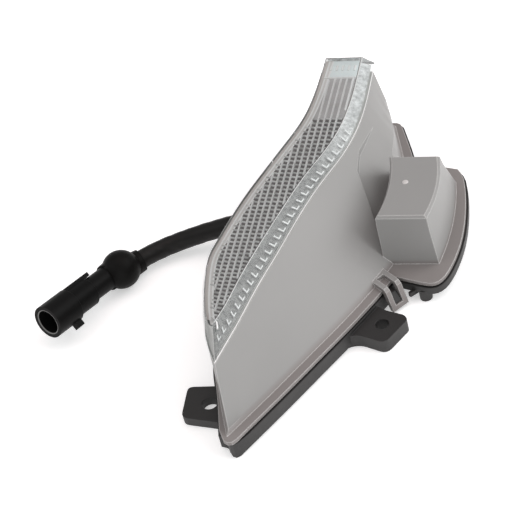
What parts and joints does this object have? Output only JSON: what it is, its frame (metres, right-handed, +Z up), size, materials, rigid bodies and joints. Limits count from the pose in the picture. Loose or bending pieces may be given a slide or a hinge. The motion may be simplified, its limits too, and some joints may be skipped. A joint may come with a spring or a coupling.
{
  "type": "vehicle corner lamp",
  "caption": "Vehicle corner signal lamp: grey wedge-shaped housing on a black back plate with bolt ears, a clear ribbed lens on top and a short lead ending in a round socket.",
  "frame": {"origin": "centre of the near ear's bolt hole, at the underside of the back plate", "axes": "+Z up from the back plate's underside towards the lens, +Y along the lamp from its nose to its far end, +X across it from the lead's side to the tower's side"},
  "size_m": [0.2121, 0.2319, 0.058],
  "materials": {
    "plate_black": "fine moulded grain",
    "gasket_black": "soft",
    "screw_steel": "plated",
    "vent_black": "fine grain",
    "body_grey": "satin moulded",
    "lens_clear": "clear and ribbed",
    "bead_pale": "smooth",
    "reflector_grey": "semi-gloss",
    "spreader_metal": "mill",
    "board_green": "lacquered",
    "diode_yellow": "clear coat",
    "part_dark": "plain",
    "wire_red": "smooth",
    "gland_black": "soft",
    "sleeve_black": "smooth sleeve",
    "boot_black": "soft",
    "connector_black": "satin",
    "holder_grey": "satin",
    "pin_metal": "plated",
    "seal_orange": "soft"
  },
  "bodies": {
    "root": {"back_plate": "plate_black", "plate_gasket": "gasket_black", "plate_screws": "screw_steel", "vent_cap": "vent_black", "housing": "body_grey", "lens_cover": "lens_clear", "lens_bead": "bead_pale", "reflector": "reflector_grey", "heat_spreader": "spreader_metal", "led_board": "board_green", "leds": "diode_yellow", "board_screws": "screw_steel", "driver_board": "board_green", "driver_parts": "part_dark", "driver_screws": "screw_steel", "inner_leads": "wire_red", "cable_gland": "gland_black", "cable_sleeve": "sleeve_black", "cable_boot": "boot_black", "connector_barrel": "connector_black", "connector_shell": "connector_black", "pin_holder": "holder_grey", "connector_pins": "pin_metal", "connector_seal": "seal_orange"}
  },
  "joints": []
}
